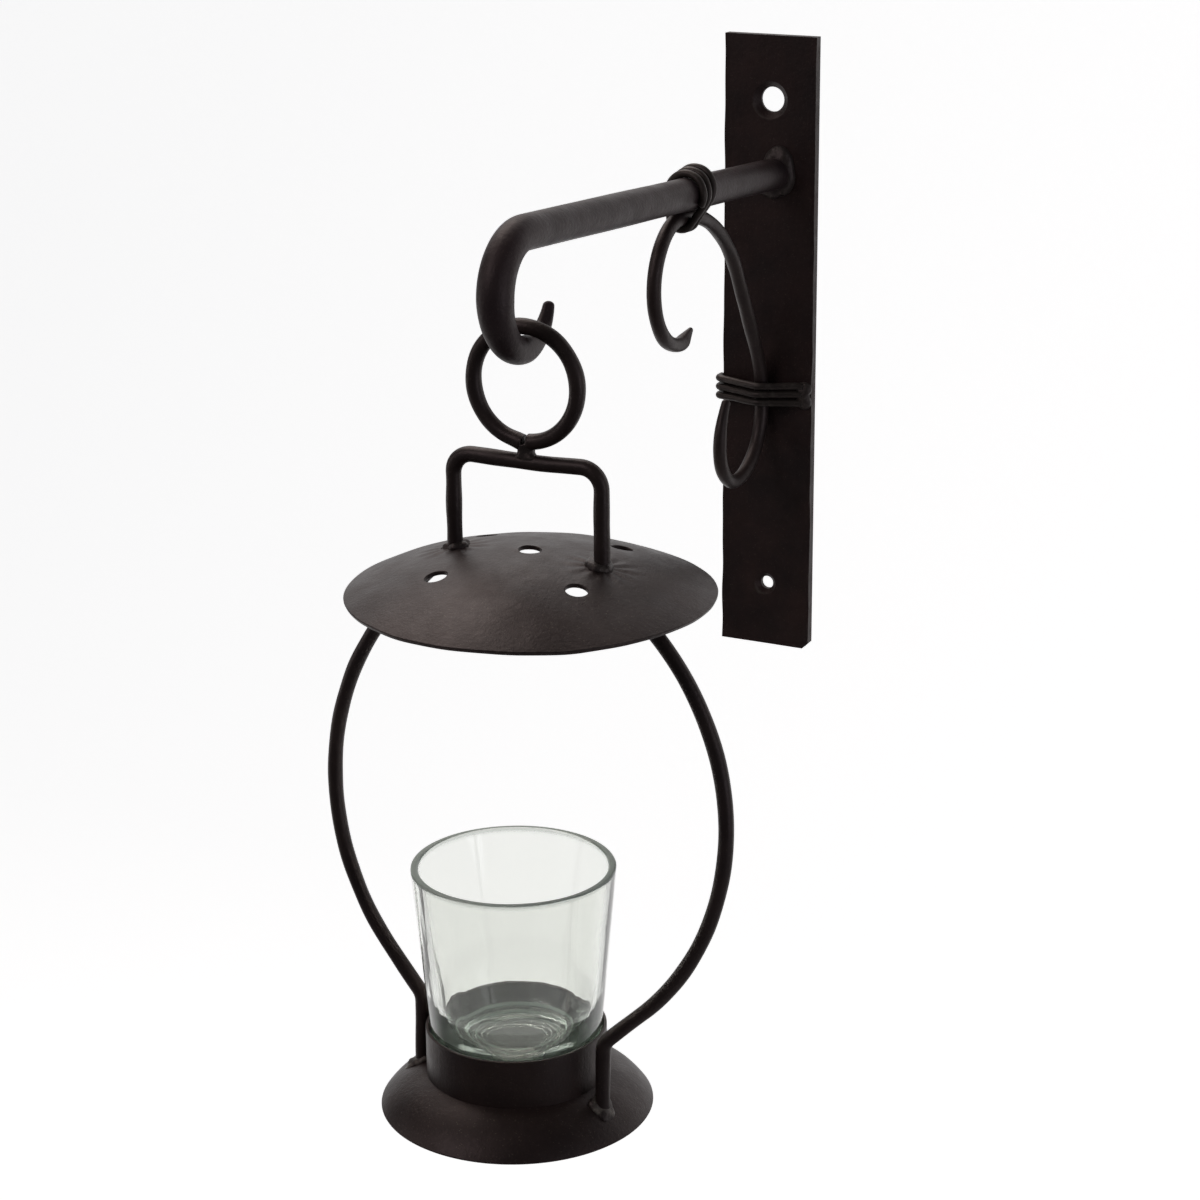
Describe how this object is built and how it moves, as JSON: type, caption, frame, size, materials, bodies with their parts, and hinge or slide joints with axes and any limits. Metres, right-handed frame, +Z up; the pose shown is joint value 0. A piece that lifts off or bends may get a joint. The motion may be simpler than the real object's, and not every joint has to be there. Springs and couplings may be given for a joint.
{
  "type": "wall candle holder",
  "caption": "Wrought iron wall bracket with a scroll brace and hook, carrying a hanging open lantern with a domed canopy and a glass votive cup.",
  "frame": {"origin": "centre of the wall plate's back face, on the wall", "axes": "+Y into the wall, +Z up, +X to the right of the plate as seen from the room"},
  "size_m": [0.1252, 0.2151, 0.2806],
  "materials": {
    "iron": "black-brown satin lacquer on forged iron",
    "glass": "clear pressed glass"
  },
  "bodies": {
    "bracket": {"back_plate": "iron", "hook_arm": "iron", "arm_weld": "iron", "scroll_brace": "iron", "arm_tie": "iron", "upper_strap": "iron", "middle_strap": "iron", "lower_strap": "iron", "strap_weld": "iron"},
    "lantern": {"hanging_ring": "iron", "ring_weld": "iron", "bail": "iron", "left_leg_weld": "iron", "right_leg_weld": "iron", "canopy": "iron", "left_side_bar": "iron", "left_side_bar_top_weld": "iron", "left_side_bar_foot_weld": "iron", "right_side_bar": "iron", "right_side_bar_top_weld": "iron", "right_side_bar_foot_weld": "iron", "base_disc": "iron", "cup_band": "iron"},
    "glass_cup": {"glass_cup": "glass"}
  },
  "joints": [
    {"name": "lantern_swing", "type": "hinge", "parent": "bracket", "child": "lantern", "pos_m": [0.0025, -0.16511, 0.03408], "axis": [0, 1, 0], "range_deg": [-30, 30]},
    {"name": "glass_lift", "type": "slide", "parent": "lantern", "child": "glass_cup", "axis": [0, 0, 1], "range_m": [0, 0.065]}
  ]
}
